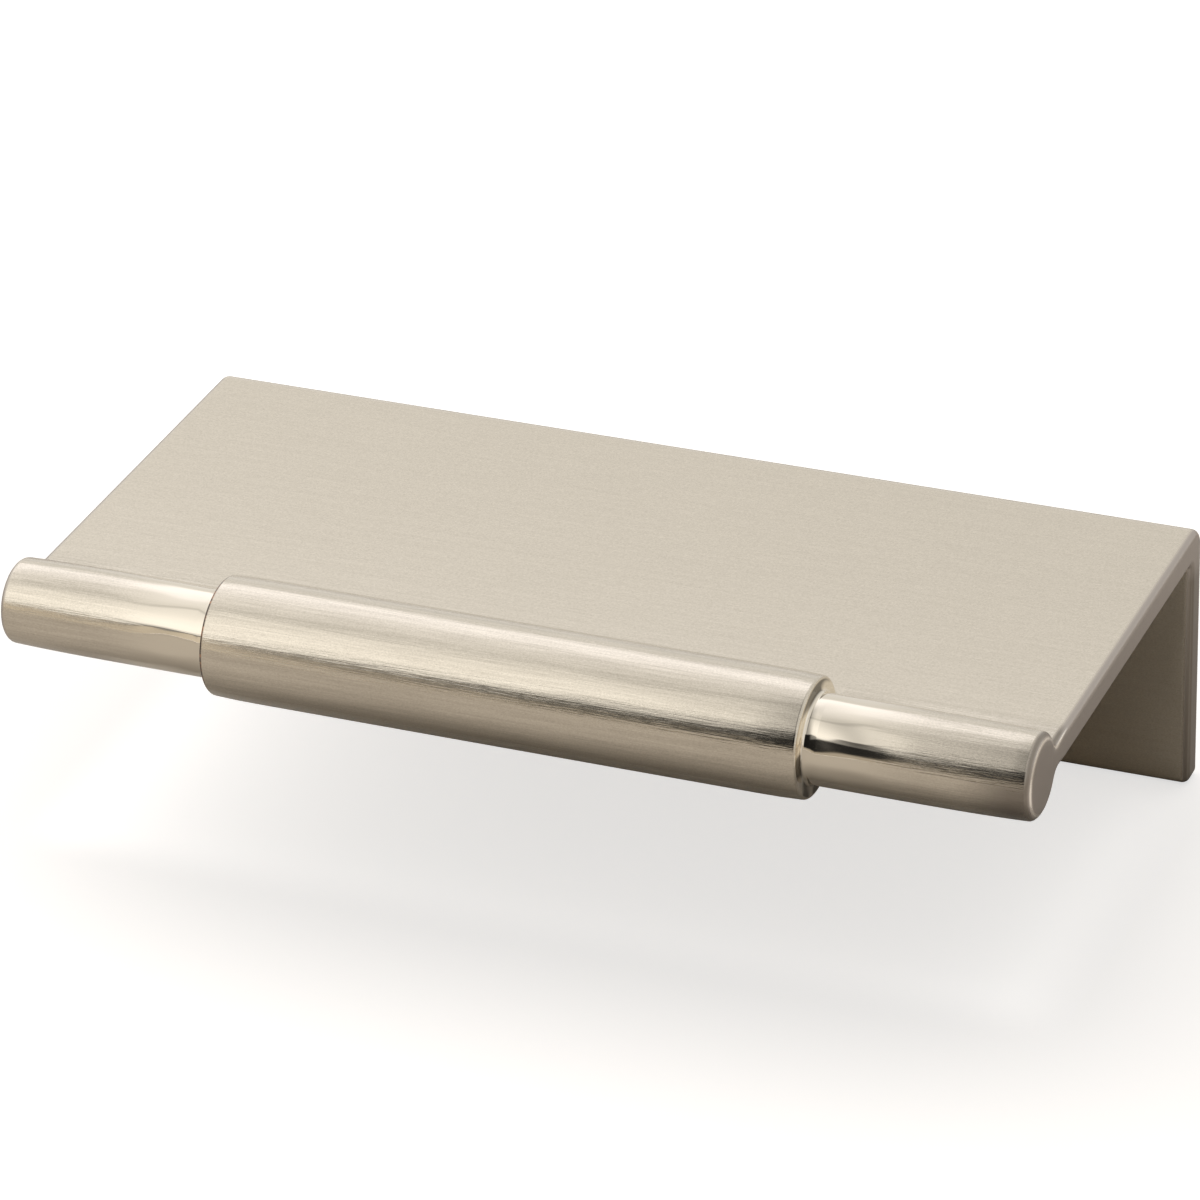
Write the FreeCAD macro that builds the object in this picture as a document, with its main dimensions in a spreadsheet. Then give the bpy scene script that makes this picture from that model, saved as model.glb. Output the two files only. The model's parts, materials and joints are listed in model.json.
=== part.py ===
import FreeCAD, Part
import math
import os
from enum import IntEnum

import Sketcher
from FreeCAD import Placement, Rotation, Vector

# Tab pull for a drawer or a cabinet door: one casting, with a flat top plate, a leg that is screwed
# to the drawer front, and a round bar along the front edge that thickens to a sleeve in the middle.
# X runs along the pull, Y points back into the drawer front and Z is up. The origin is midway
# between the two screw holes, on the back face of the leg.

SIZES = [
    ("pull_length", 101.6, "end face to end face"),
    ("plate_thickness", 3.1, "flat top plate"),
    ("leg_thickness", 3.1, "leg against the drawer front"),
    ("leg_height", 27.2, "top of the plate to the lower edge of the leg"),
    ("bend_outer_radius", 2.0, "outside corner between plate and leg"),
    ("bend_inner_radius", 0.5, "inside corner between plate and leg"),
    ("bar_reach", 48.0, "back face of the leg to the axis of the bar"),
    ("bar_diameter", 8.5, "round bar along the front edge"),
    ("sleeve_length", 58.6, "thicker middle of the bar"),
    ("sleeve_wall", 1.55, "height of the sleeve above the bar"),
    ("sleeve_edge_round", 0.35, "rounded outer edge at each end of the sleeve"),
    ("hollow_radius", 0.4, "hollow corners where bar, sleeve and plate meet"),
    ("end_edge_round", 0.8, "rounded edges of the two end faces and of the leg's lower edge"),
    ("hole_spacing", 76.2, "centre to centre of the screw holes"),
    ("hole_height", 13.6, "lower edge of the leg to the screw axes"),
    ("hole_diameter", 3.5, "tapping bore of a number 8 machine screw"),
    ("hole_chamfer", 0.35, "chamfer at each mouth of a screw hole"),
]
size = {alias: value for alias, value, _ in SIZES}

# Share of a wall that the rounding of one of its edges may take, so that a flat is left.
LARGEST_ROUND_SHARE = 0.4
# How near two measures have to be to count as the same when edges are picked, in millimetres.
PICK_TOLERANCE = 1e-4
# Share of the screw holes' volume by which what they cut away may differ from two plain bores.
BORE_TOLERANCE = 0.01


class Spot(IntEnum):
    """The numbers by which a sketch knows the points of a curve."""

    START = 1
    END = 2
    CENTRE = 3


class Axis(IntEnum):
    """The numbers by which a sketch knows its two axes. Each of them starts at the origin."""

    LEVEL = -1
    UPRIGHT = -2


def origin():
    """Give the curve and the point that stand for a sketch's origin in a constraint."""
    return Axis.LEVEL, Spot.START


def fill_sheet(doc):
    """Put the driving dimensions into a spreadsheet, one row each, with an alias on its value."""
    sheet = doc.addObject("Spreadsheet::Sheet", "sizes")
    for row, (alias, value, meaning) in enumerate(SIZES, start=1):
        sheet.set(f"A{row}", alias)
        sheet.set(f"B{row}", str(value))
        sheet.set(f"C{row}", meaning)
        sheet.setAlias(f"B{row}", alias)
    doc.recompute()
    return sheet


def origin_plane(body, role):
    """Give one of the body's own origin planes, such as YZ_Plane."""
    return next(plane for plane in body.Origin.OriginFeatures if plane.Role == role)


def new_sketch(body, name, role):
    """Make a sketch on one of the body's origin planes."""
    sketch = body.newObject("Sketcher::SketchObject", name)
    sketch.AttachmentSupport = [(origin_plane(body, role), "")]
    sketch.MapMode = "FlatFace"
    return sketch


def nearest_end(sketch, curve, place):
    """Say which end of a line or an arc lies nearest to a place."""
    return min((Spot.START, Spot.END), key=lambda end: sketch.getPoint(curve, end).distanceToPoint(place))


def join(sketch, first, second, place, kind):
    """Join two curves of a sketch at a place: Tangent for a smooth join, Coincident for a corner."""
    first_end = nearest_end(sketch, first, place)
    second_end = nearest_end(sketch, second, place)
    sketch.addConstraint(Sketcher.Constraint(kind, first, first_end, second, second_end))


def drive(sketch, name, formula, constraint):
    """Add a dimension to a sketch and bind it to a formula of the sheet's sizes."""
    sketch.renameConstraint(sketch.addConstraint(constraint), name)
    sketch.setExpression(f"Constraints.{name}", formula)


def quarter_arc(start, end, centre):
    """Make the quarter circle about a centre from one point to another."""
    towards_middle = (start - centre) + (end - centre)
    middle = centre + towards_middle.normalize() * (start - centre).Length
    return Part.Arc(start, middle, end)


def draw_section(body):
    """Draw the casting's cross-section: leg, bend, plate and bar as one closed outline.

    The sketch lies in the YZ plane, so its own x is Y and its own y is Z.
    """
    sketch = new_sketch(body, "section", "YZ_Plane")
    bar_radius = size["bar_diameter"] / 2
    half_plate = size["plate_thickness"] / 2
    foot = -size["hole_height"]
    top = foot + size["leg_height"]
    under = top - size["plate_thickness"]
    inner = -size["leg_thickness"]
    bend_out = size["bend_outer_radius"]
    bend_in = size["bend_inner_radius"]
    bar_axis = Vector(-size["bar_reach"], top - half_plate, 0)
    bar_meets_plate = bar_axis.x + math.sqrt(bar_radius ** 2 - half_plate ** 2)
    bend_out_centre = Vector(-bend_out, top - bend_out, 0)
    bend_in_centre = Vector(inner - bend_in, under - bend_in, 0)

    foot_back = Vector(0, foot, 0)
    bend_out_low = Vector(0, bend_out_centre.y, 0)
    bend_out_high = Vector(bend_out_centre.x, top, 0)
    bar_top = Vector(bar_meets_plate, top, 0)
    bar_front = bar_axis - Vector(bar_radius, 0, 0)
    bar_under = Vector(bar_meets_plate, under, 0)
    bend_in_high = Vector(bend_in_centre.x, under, 0)
    bend_in_low = Vector(inner, bend_in_centre.y, 0)
    foot_inner = Vector(inner, foot, 0)

    back = sketch.addGeometry(Part.LineSegment(foot_back, bend_out_low))
    outer_bend = sketch.addGeometry(quarter_arc(bend_out_low, bend_out_high, bend_out_centre))
    plate_top = sketch.addGeometry(Part.LineSegment(bend_out_high, bar_top))
    bar = sketch.addGeometry(Part.Arc(bar_top, bar_front, bar_under))
    plate_under = sketch.addGeometry(Part.LineSegment(bar_under, bend_in_high))
    inner_bend = sketch.addGeometry(quarter_arc(bend_in_high, bend_in_low, bend_in_centre))
    leg_inner = sketch.addGeometry(Part.LineSegment(bend_in_low, foot_inner))
    leg_foot = sketch.addGeometry(Part.LineSegment(foot_inner, foot_back))

    join(sketch, back, outer_bend, bend_out_low, "Tangent")
    join(sketch, outer_bend, plate_top, bend_out_high, "Tangent")
    join(sketch, plate_top, bar, bar_top, "Coincident")
    join(sketch, bar, plate_under, bar_under, "Coincident")
    join(sketch, plate_under, inner_bend, bend_in_high, "Tangent")
    join(sketch, inner_bend, leg_inner, bend_in_low, "Tangent")
    join(sketch, leg_inner, leg_foot, foot_inner, "Coincident")
    join(sketch, leg_foot, back, foot_back, "Coincident")

    for upright in (back, leg_inner):
        sketch.addConstraint(Sketcher.Constraint("Vertical", upright))
    for level in (plate_top, plate_under, leg_foot):
        sketch.addConstraint(Sketcher.Constraint("Horizontal", level))
    sketch.addConstraint(Sketcher.Constraint("PointOnObject", back, Spot.START, Axis.UPRIGHT))

    drive(sketch, "hole_height", "sizes.hole_height",
          Sketcher.Constraint("DistanceY", back, Spot.START, *origin(), size["hole_height"]))
    drive(sketch, "leg_height", "sizes.leg_height",
          Sketcher.Constraint("DistanceY", back, Spot.START, plate_top, Spot.START, size["leg_height"]))
    drive(sketch, "leg_thickness", "sizes.leg_thickness",
          Sketcher.Constraint("DistanceX", leg_inner, Spot.END, *origin(), size["leg_thickness"]))
    drive(sketch, "plate_thickness", "sizes.plate_thickness",
          Sketcher.Constraint("DistanceY", plate_under, Spot.START, plate_top, Spot.START,
                              size["plate_thickness"]))
    drive(sketch, "bar_reach", "sizes.bar_reach",
          Sketcher.Constraint("DistanceX", bar, Spot.CENTRE, *origin(), size["bar_reach"]))
    drive(sketch, "bar_level", "sizes.plate_thickness / 2",
          Sketcher.Constraint("DistanceY", bar, Spot.CENTRE, plate_top, Spot.START, half_plate))
    drive(sketch, "bar_radius", "sizes.bar_diameter / 2",
          Sketcher.Constraint("Radius", bar, bar_radius))
    for curve, alias in ((outer_bend, "bend_outer_radius"), (inner_bend, "bend_inner_radius")):
        drive(sketch, alias, f"sizes.{alias}", Sketcher.Constraint("Radius", curve, size[alias]))
    return sketch


def draw_sleeve(body):
    """Draw half of the sleeve's lengthwise section, from the axis of the bar to the outside.

    Both ends are alike: a flat end face that turns into the outside over a rounded edge.
    """
    sketch = new_sketch(body, "sleeve_section", "XY_Plane")
    radius = size["bar_diameter"] / 2 + size["sleeve_wall"]
    half = size["sleeve_length"] / 2
    edge = size["sleeve_edge_round"]
    level = size["leg_height"] - size["hole_height"] - size["plate_thickness"] / 2
    sketch.AttachmentOffset = Placement(Vector(0, -size["bar_reach"], level), Rotation())
    sketch.setExpression("AttachmentOffset.Base.y", "-sizes.bar_reach")
    sketch.setExpression("AttachmentOffset.Base.z",
                         "sizes.leg_height - sizes.hole_height - sizes.plate_thickness / 2")

    outside = sketch.addGeometry(Part.LineSegment(
        Vector(-(half - edge), radius, 0), Vector(half - edge, radius, 0)))
    axis = sketch.addGeometry(Part.LineSegment(Vector(-half, 0, 0), Vector(half, 0, 0)))
    sketch.addConstraint(Sketcher.Constraint("Horizontal", outside))
    for end in (Spot.START, Spot.END):
        sketch.addConstraint(Sketcher.Constraint("PointOnObject", axis, end, Axis.LEVEL))
    drive(sketch, "sleeve_radius", "sizes.bar_diameter / 2 + sizes.sleeve_wall",
          Sketcher.Constraint("DistanceY", *origin(), outside, Spot.START, radius))

    for name, side in (("left", -1), ("right", 1)):
        on_axis = Vector(side * half, 0, 0)
        on_face = Vector(side * half, radius - edge, 0)
        on_outside = Vector(side * (half - edge), radius, 0)
        edge_centre = Vector(on_outside.x, on_face.y, 0)
        face = sketch.addGeometry(Part.LineSegment(on_axis, on_face))
        rounded = sketch.addGeometry(quarter_arc(on_face, on_outside, edge_centre))

        join(sketch, axis, face, on_axis, "Coincident")
        join(sketch, face, rounded, on_face, "Tangent")
        join(sketch, rounded, outside, on_outside, "Tangent")
        sketch.addConstraint(Sketcher.Constraint("Vertical", face))
        reach = (face, Spot.START, *origin()) if side < 0 else (*origin(), face, Spot.START)
        drive(sketch, f"{name}_half_length", "sizes.sleeve_length / 2",
              Sketcher.Constraint("DistanceX", *reach, half))
        drive(sketch, f"{name}_edge_round", "sizes.sleeve_edge_round",
              Sketcher.Constraint("Radius", rounded, edge))
    return sketch


def draw_holes(body):
    """Draw the two screw holes on the back face of the leg."""
    sketch = new_sketch(body, "hole_centres", "XZ_Plane")
    radius = size["hole_diameter"] / 2
    half = size["hole_spacing"] / 2
    for name, side in (("left", -1), ("right", 1)):
        centre = Vector(side * half, 0, 0)
        hole = sketch.addGeometry(Part.Circle(centre, Vector(0, 0, 1), radius))
        sketch.addConstraint(Sketcher.Constraint("PointOnObject", hole, Spot.CENTRE, Axis.LEVEL))
        reach = (hole, Spot.CENTRE, *origin()) if side < 0 else (*origin(), hole, Spot.CENTRE)
        drive(sketch, f"{name}_place", "sizes.hole_spacing / 2",
              Sketcher.Constraint("DistanceX", *reach, half))
        drive(sketch, f"{name}_diameter", "sizes.hole_diameter",
              Sketcher.Constraint("Diameter", hole, 2 * radius))
    return sketch


def edge_names(shape, wanted):
    """Name the edges of a shape that a test picks, in the form that a fillet or chamfer takes."""
    return [f"Edge{number}" for number, edge in enumerate(shape.Edges, start=1) if wanted(edge)]


def near(value, wanted):
    """Say whether two measures agree."""
    return abs(value - wanted) < PICK_TOLERANCE


def on_end_face(edge):
    """Say whether the whole edge lies in the plane of an end face."""
    box = edge.BoundBox
    return near(box.XLength, 0) and near(abs(box.XMin), size["pull_length"] / 2)


def on_foot(edge):
    """Say whether the edge is one of the two long lower edges of the leg."""
    box = edge.BoundBox
    return near(box.ZMax, -size["hole_height"]) and near(box.YLength, 0)


def in_hollow_corner(edge):
    """Say whether bar and plate, sleeve and plate, or sleeve and bar meet at the edge."""
    box = edge.BoundBox
    plate_top = size["leg_height"] - size["hole_height"]
    plate_faces = (plate_top, plate_top - size["plate_thickness"])
    nose_radius = size["bar_diameter"] / 2 + size["sleeve_wall"]
    along_plate = near(box.ZLength, 0) and any(near(box.ZMin, level) for level in plate_faces)
    at_nose = box.YMax < nose_radius - size["bar_reach"]
    round_step = (near(box.XLength, 0) and near(abs(box.XMin), size["sleeve_length"] / 2)
                  and near(box.ZLength, size["bar_diameter"]))
    return round_step or (along_plate and at_nose and not on_end_face(edge))


def at_hole_mouth(edge):
    """Say whether the edge is the circle at a mouth of a screw hole."""
    box = edge.BoundBox
    return near(box.YLength, 0) and all(
        near(width, size["hole_diameter"]) for width in (box.XLength, box.ZLength))


def build_casting(doc):
    """Build the casting: section, sleeve, rounded corners and edges, then the screw holes."""
    body = doc.addObject("PartDesign::Body", "pull_casting")
    body.Label = "pull_casting"

    section = draw_section(body)
    casting = body.newObject("PartDesign::Pad", "section_pad")
    casting.Profile = section
    casting.SideType = "Symmetric"
    casting.setExpression("Length", "sizes.pull_length")

    sleeve_section = draw_sleeve(body)
    sleeve = body.newObject("PartDesign::Revolution", "sleeve")
    sleeve.Profile = sleeve_section
    sleeve.ReferenceAxis = (sleeve_section, ["H_Axis"])
    doc.recompute()

    hollows = body.newObject("PartDesign::Fillet", "hollow_corners")
    hollows.Base = (sleeve, edge_names(sleeve.Shape, in_hollow_corner))
    hollows.setExpression("Radius", "sizes.hollow_radius")
    doc.recompute()

    rounding = body.newObject("PartDesign::Fillet", "end_rounding")
    rounding.Base = (hollows, edge_names(hollows.Shape, lambda edge: on_end_face(edge) or on_foot(edge)))
    rounding.setExpression(
        "Radius",
        f"min(sizes.end_edge_round; {LARGEST_ROUND_SHARE} * sizes.plate_thickness;"
        f" {LARGEST_ROUND_SHARE} * sizes.leg_thickness)")
    doc.recompute()

    hole_centres = draw_holes(body)
    holes = body.newObject("PartDesign::Pocket", "screw_holes")
    holes.Profile = hole_centres
    holes.Reversed = True
    holes.setExpression("Length", "sizes.leg_thickness")
    doc.recompute()

    mouths = body.newObject("PartDesign::Chamfer", "hole_mouths")
    mouths.Base = (holes, edge_names(holes.Shape, at_hole_mouth))
    mouths.setExpression("Size", "sizes.hole_chamfer")
    doc.recompute()

    drilled = rounding.Shape.Volume - holes.Shape.Volume
    bores = 2 * math.pi * (size["hole_diameter"] / 2) ** 2 * size["leg_thickness"]
    if abs(drilled - bores) > BORE_TOLERANCE * bores:
        raise RuntimeError(f"the screw holes removed {drilled:.3f} cubic mm, not {bores:.3f}")
    return body


def check(doc, bodies):
    """Stop if any object of the document failed or a finished piece has no sound solid."""
    failed = [thing.Name for thing in doc.Objects if {"Invalid", "Error"} & set(thing.State)]
    if failed:
        raise RuntimeError(f"failed objects: {failed}")
    for body in bodies:
        shape = body.Shape
        if shape.isNull() or not shape.isValid() or len(shape.Solids) != 1:
            raise RuntimeError(f"{body.Label} is not one valid solid")


doc = FreeCAD.newDocument("tab_pull")
fill_sheet(doc)
bodies = [build_casting(doc)]
doc.recompute()
check(doc, bodies)
os.makedirs("parts", exist_ok=True)
for body in bodies:
    body.Shape.exportStep(f"parts/{body.Label}.step")
    box = body.Shape.BoundBox
    print(f"{body.Label}: {box.XLength:.2f} x {box.YLength:.2f} x {box.ZLength:.2f} mm,"
          f" volume {body.Shape.Volume:.1f} cubic mm, {len(body.Shape.Faces)} faces")
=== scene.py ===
# %% [markdown]
# # A satin nickel tab pull
#
# A tab pull is a small drawer handle: a flat plate that stands out from the drawer, a leg that is
# screwed to the drawer front, and a round bar along the front edge for the fingers. This lesson dresses
# the solid model of such a pull for a studio picture. The solid gives the outer sizes and the screw holes,
# and nothing is moved.

# %% Load the frame
import json
import math

import bmesh
import bpy
import numpy as np
from mathutils import Matrix, Vector


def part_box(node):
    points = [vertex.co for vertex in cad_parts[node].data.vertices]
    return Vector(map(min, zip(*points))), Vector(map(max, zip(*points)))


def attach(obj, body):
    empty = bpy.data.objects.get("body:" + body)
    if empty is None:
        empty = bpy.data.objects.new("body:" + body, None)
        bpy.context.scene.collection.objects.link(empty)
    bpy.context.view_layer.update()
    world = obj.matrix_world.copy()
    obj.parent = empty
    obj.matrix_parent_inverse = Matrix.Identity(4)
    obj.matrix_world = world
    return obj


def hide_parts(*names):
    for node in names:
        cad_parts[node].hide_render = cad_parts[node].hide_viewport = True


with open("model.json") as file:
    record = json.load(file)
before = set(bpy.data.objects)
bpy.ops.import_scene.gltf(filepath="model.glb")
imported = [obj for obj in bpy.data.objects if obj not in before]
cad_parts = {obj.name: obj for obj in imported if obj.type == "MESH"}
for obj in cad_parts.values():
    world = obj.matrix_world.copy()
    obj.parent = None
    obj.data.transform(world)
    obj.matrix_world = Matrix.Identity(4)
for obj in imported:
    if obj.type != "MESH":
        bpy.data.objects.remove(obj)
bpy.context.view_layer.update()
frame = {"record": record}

# %% [markdown]
# ## Sizes
#
# The pull is symmetric, so a few sizes say all about it. The outer box and the screw holes are read from
# the frame. The walls and radii are written here: the solid's own, and two more that make the bar's ends
# softer. The script works in millimetres, as a maker would, and turns points into Blender's metres only
# when they go into a mesh.

# %% Sizes of the casting
MM = 0.001
low, high = (np.array(corner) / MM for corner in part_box("pull_casting"))
screw_holes = next(mount for mount in frame["record"]["mounts"] if mount["name"] == "screw_holes")

END = high[0]                                            # the end faces lie at -END and +END
FOOT = low[2]                                            # lower edge of the leg
PLATE = 3.1                                              # thickness of the plate
LEG = 3.1                                                # thickness of the leg
BEND_OUT = 2.0                                           # outside corner between plate and leg
BEND_IN = 0.5                                            # inside corner between plate and leg
BAR = 4.25                                               # radius of the bar
SLEEVE = 5.8                                             # radius of the sleeve in the middle of the bar
SLEEVE_HALF = 29.3                                       # the sleeve's end faces lie at -29.3 and +29.3
SLEEVE_ROUND = 0.35                                      # rounded outer edge of the sleeve
HOLLOW = 0.4                                             # hollow corners between bar, sleeve and plate
END_ROUND = 0.8                                          # rounded edges of the end faces and of the foot
TIP_ROUND = 1.3                                          # how far the rounding draws in the bar's ends
TIP_HOLLOW = 1.6                                         # the hollow corner under the bar grows to this
HOLE_X = screw_holes["dims"]["spacing_x_mm"] / 2         # the screw holes lie at -HOLE_X and +HOLE_X
HOLE = screw_holes["dims"]["hole_r_mm"]                  # radius of a hole before its thread is cut

AXIS_Y = low[1] + SLEEVE                                 # the bar's axis runs along x through this y and z
AXIS_Z = high[2] - SLEEVE
TOP = AXIS_Z + PLATE / 2
UNDER = AXIS_Z - PLATE / 2
print(f"bar axis at y {AXIS_Y:.2f}, z {AXIS_Z:.2f}; plate from z {UNDER:.2f} to {TOP:.2f}")

# %% [markdown]
# ## The skin of the casting
#
# The real pull is one zinc casting, so its skin is one closed surface. The solid's own mesh would do for
# a plain look, but it is cut into long thin triangles and its holes have no thread. A skin worked out as
# a grid keeps the same form within about half a millimetre, reflects without facets, and can carry the
# thread and the softer ends that finishing leaves. One direction of the grid runs along the pull. The
# other runs round the section: from the front of the nose over the top and down the back of the leg, and
# from the front under the nose and down the inside.

# %% Rings along the pull
QUARTER = math.pi / 2
FAN = 2.5                # how far the crowded rings at the sleeve's end spread out on plate and leg
SQUARE = 3.0             # half the side of the square that is left out round each screw hole
SQUARE_STEPS = 16
SLEEVE_STEPS, EDGE_STEPS, FACE_STEPS, INSIDE_STEPS, BAR_STEPS = 14, 8, 3, 6, 8    # rings on each stretch
SLEEVE_CROWN = (5.0, 0.10)     # the belt rounds the sleeve's ends over the last 5 mm, by 0.1 mm
BAR_CROWN = (12.0, 0.16)       # and the bar's ends over the last 12 mm, by 0.16 mm


def run(start, stop, steps):
    """Evenly spaced places from start to stop, without the first, so that stretches can be chained."""
    return np.linspace(start, stop, steps + 1)[1:]


def crown(x, stop, reach, depth):
    """How far the belt takes the surface down near its end, and the lean of the normal that goes with it.

    The depth grows with the cube of the way through the last stretch, so that it starts without a mark.
    """
    share = np.clip((x - stop) / reach + 1, 0, None)
    return depth * share ** 3, np.arctan(3 * depth / reach * share ** 2)


def half_of_rings():
    """The rings from the middle of the pull to the last straight one, as x, radius, turn and leg_x.

    The nose's outline is a chain: the sleeve's outside, a quarter circle over its edge, its flat end face,
    a quarter circle into the hollow corner and the bar's outside, both outsides with crowned ends. The
    turn is the angle of the outward normal towards the end, and the bar's crown is so flat that its turn
    is left at zero. Where the chain stands still in x, leg_x goes on, so that the same rings stay apart on
    the plate and the leg.
    """
    edge_start = SLEEVE_HALF - SLEEVE_ROUND
    bar_start = SLEEVE_HALF + HOLLOW
    last = END - END_ROUND
    on_sleeve = run(0, SLEEVE_HALF - FAN, SLEEVE_STEPS)
    on_bar = np.concatenate([run(SLEEVE_HALF + FAN, HOLE_X - SQUARE, BAR_STEPS),
                             run(HOLE_X - SQUARE, HOLE_X + SQUARE, SQUARE_STEPS),
                             run(HOLE_X + SQUARE, last, BAR_STEPS)])
    sleeve_x = on_sleeve * edge_start / on_sleeve[-1]
    sleeve_drop, sleeve_lean = crown(sleeve_x, edge_start, *SLEEVE_CROWN)
    bar_x = np.interp(on_bar, [SLEEVE_HALF + FAN, last], [bar_start, last])
    bar_drop = crown(bar_x, last, *BAR_CROWN)[0]
    over_edge = run(sleeve_lean[-1], QUARTER, EDGE_STEPS)
    edge_radius = SLEEVE - sleeve_drop[-1] - SLEEVE_ROUND
    down_face = run(edge_radius, BAR + HOLLOW, FACE_STEPS)
    into_corner = run(QUARTER, 0, INSIDE_STEPS)

    x = np.concatenate([sleeve_x, edge_start + SLEEVE_ROUND * np.sin(over_edge),
                        np.full_like(down_face, SLEEVE_HALF),
                        bar_start - HOLLOW * np.sin(into_corner), bar_x])
    radius = np.concatenate([SLEEVE - sleeve_drop, edge_radius + SLEEVE_ROUND * np.cos(over_edge),
                             down_face, BAR + HOLLOW * (1 - np.cos(into_corner)), BAR - bar_drop])
    turn = np.concatenate([sleeve_lean, over_edge, np.full_like(down_face, QUARTER), into_corner,
                           np.zeros_like(bar_x)])
    crowded = len(over_edge) + len(down_face) + len(into_corner)
    leg_x = np.concatenate([on_sleeve, run(SLEEVE_HALF - FAN, SLEEVE_HALF + FAN, crowded), on_bar])
    return x, radius, turn, leg_x


x, radius, turn, leg_x = half_of_rings()
ring_x = np.concatenate([-x[::-1], [0], x])
ring_radius = np.concatenate([radius[::-1], [SLEEVE], radius])
ring_turn = np.concatenate([-turn[::-1], [0], turn])
ring_leg_x = np.concatenate([-leg_x[::-1], [0], leg_x])
print("rings between the two end roundings:", len(ring_x))

# %% [markdown]
# ## The nose and its hollow corners
#
# In the casting mould a small radius fills every inside corner. It is the path of a ball that rolls along
# and touches two surfaces at once, here the nose and the plate. The ball's middle is one ball radius away
# from both, so it is known for every ring, and the fillet is the arc on the ball between the two touching
# points. This gives the true corner even where the sleeve steps down to the bar. Under the bar the ball
# grows towards the pull's two ends, so the corner is wider there.

# %% Nose, hollow corner and the strip of plate beside it
NOSE_STEPS = 36
HOLLOW_STEPS = 5
HOLLOW_GROWS = (1.5, 9.0)                # the lower corner grows between these distances from the sleeve
STRIP_STEPS = 3
STRIP_Y = AXIS_Y + SLEEVE + 3.0          # the strip ends at this y


def half_nose(hollow):
    """Points and normals from the front of the nose over its top to the plate, ring by ring.

    The ball's radius, hollow, is given for each ring. Round the nose a point is the ring's radius from the
    axis, at an even share of the angle from the front to where the ball touches. On the ball it is an even
    share of the arc. On the plate it is an even share of the way from the ball to a straight line, where
    the rings take up their leg_x.
    """
    along, out = np.sin(ring_turn), np.cos(ring_turn)
    ball_radius = ring_radius + hollow * out
    touch = np.arcsin((PLATE / 2 + hollow) / ball_radius)
    angle = math.pi + (touch - math.pi)[:, None] * np.linspace(0, 1, NOSE_STEPS + 1)
    normal = np.stack([np.broadcast_to(along[:, None], angle.shape),
                       out[:, None] * np.cos(angle), out[:, None] * np.sin(angle)], axis=-1)
    nose = np.stack([np.broadcast_to(ring_x[:, None], angle.shape),
                     AXIS_Y + ring_radius[:, None] * np.cos(angle),
                     AXIS_Z + ring_radius[:, None] * np.sin(angle)], axis=-1)

    ball = nose[:, -1] + hollow[:, None] * normal[:, -1]
    to_nose, to_plate = -normal[:, -1], np.array([0.0, 0.0, -1.0])
    arc = np.arccos(to_nose @ to_plate)[:, None, None]
    share = run(0, 1, HOLLOW_STEPS)[:, None]
    reach = (np.sin((1 - share) * arc) * to_nose[:, None] + np.sin(share * arc) * to_plate) / np.sin(arc)
    corner = ball[:, None] + hollow[:, None, None] * reach

    far = np.stack([ring_leg_x, np.full_like(ring_x, STRIP_Y), np.full_like(ring_x, TOP)], axis=-1)
    share = run(0, 1, STRIP_STEPS)[:, None]
    strip = (1 - share) * corner[:, -1:] + share * far[:, None]
    strip_normal = np.broadcast_to([0.0, 0.0, 1.0], strip.shape)
    return (np.concatenate([nose, corner, strip], axis=1),
            np.concatenate([normal, -reach, strip_normal], axis=1))


upper_points, upper_normals = half_nose(np.full_like(ring_x, HOLLOW))
lower_hollow = np.interp(np.abs(ring_x) - SLEEVE_HALF, HOLLOW_GROWS, [HOLLOW, TIP_HOLLOW])
lower_points, lower_normals = half_nose(lower_hollow)        # the whole rings mirror it to the underside
print("points on one ring from the front of the nose to the plate:", upper_points.shape[1])

# %% [markdown]
# ## Plate, bend and leg
#
# Behind the nose the section is the same everywhere, as if it were folded from one strip: plate, bend,
# leg and rounded foot. Its outer and inner side get the same number of points, so the flat end faces can
# later be closed like a ladder, with a rung from each outer point to its inner partner.

# %% Outer and inner side of plate and leg
PLATE_STEPS = 10
BEND_STEPS = 8
LEG_STEPS = 5
CORNER_STEPS = 6


def arc_side(middle_y, middle_z, radius, start, stop, steps, hollow=False):
    """Points and normals along an arc of the section. A hollow arc's normal points to its middle."""
    angle = run(start, stop, steps)
    normal = np.stack([np.cos(angle), np.sin(angle)], axis=-1)
    return np.array([middle_y, middle_z]) + radius * normal, -normal if hollow else normal


def line_side(start, stop, steps, normal):
    """Points and normals along a straight side of the section."""
    share = run(0, 1, steps)[:, None]
    points = (1 - share) * np.array(start) + share * np.array(stop)
    return points, np.broadcast_to(normal, points.shape)


def leg_side(y, from_z, normal):
    """A side of the leg from the bend down to the foot, with a fine middle stretch at the screw holes."""
    heights = [from_z, SQUARE, -SQUARE, FOOT + END_ROUND]
    return [line_side((y, a), (y, b), steps, normal)
            for a, b, steps in zip(heights, heights[1:], (LEG_STEPS, SQUARE_STEPS, LEG_STEPS))]


def chain(stretches):
    """Join stretches of points and normals into one run."""
    return tuple(np.concatenate(part) for part in zip(*stretches))


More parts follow.
